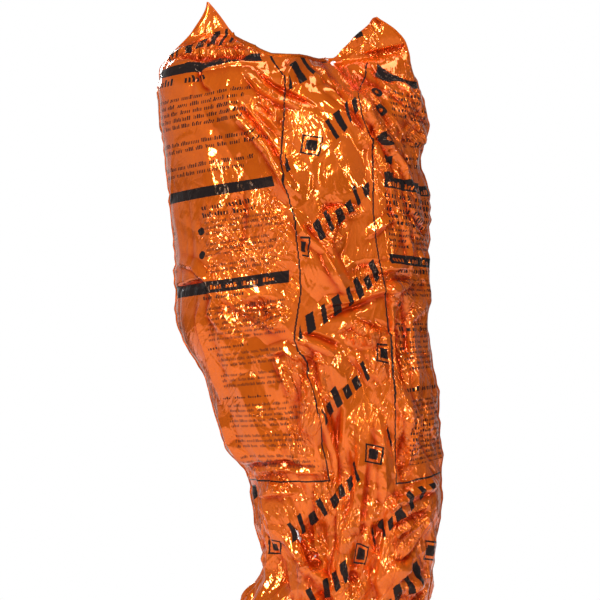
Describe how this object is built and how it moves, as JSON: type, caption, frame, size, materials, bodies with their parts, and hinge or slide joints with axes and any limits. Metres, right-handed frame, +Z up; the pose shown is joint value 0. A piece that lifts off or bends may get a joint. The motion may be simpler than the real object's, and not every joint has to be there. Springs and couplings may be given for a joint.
{
  "type": "emergency bivvy bag",
  "caption": "Body-length metallised film survival bag, standing open on its closed foot, with two mouth corners that stand up as peaks and fold over.",
  "frame": {"origin": "on the floor, under the middle of the bag's outline", "axes": "+Z up along the bag, +X to the right seen from the printed front, which faces -Y"},
  "size_m": [0.6539, 0.4123, 1.721],
  "materials": {
    "film": "crumpled metallised film, orange and glossy outside, silver inside",
    "seal": "heat-sealed double film, darker orange",
    "hem": "folded and sealed film edge"
  },
  "bodies": {
    "bag": {"front_film": "film", "back_film": "film", "left_side_weld": "seal", "right_side_weld": "seal", "foot_weld": "seal", "front_mouth_hem": "hem", "back_mouth_hem": "hem"},
    "left_peak": {"left_peak_front_film": "film", "left_peak_back_film": "film", "left_peak_weld": "seal"},
    "right_peak": {"right_peak_front_film": "film", "right_peak_back_film": "film", "right_peak_weld": "seal"},
    "left_foot_corner": {"left_foot_corner": "film"},
    "right_foot_corner": {"right_foot_corner": "film"}
  },
  "joints": [
    {"name": "left_peak_fold", "type": "hinge", "parent": "bag", "child": "left_peak", "pos_m": [-0.21, 0, 1.654], "axis": [0.9962, 0, 0.0872], "range_deg": [-100, 100]},
    {"name": "right_peak_fold", "type": "hinge", "parent": "bag", "child": "right_peak", "pos_m": [0.1989, 0, 1.611], "axis": [0.9903, 0, 0.1392], "range_deg": [-100, 100]},
    {"name": "left_foot_corner_fold", "type": "hinge", "parent": "bag", "child": "left_foot_corner", "pos_m": [-0.2587, 0, 0.003], "axis": [0, 1, 0], "range_deg": [0, 85]},
    {"name": "right_foot_corner_fold", "type": "hinge", "parent": "bag", "child": "right_foot_corner", "pos_m": [0.2587, 0, 0.003], "axis": [0, -1, 0], "range_deg": [0, 85]}
  ]
}
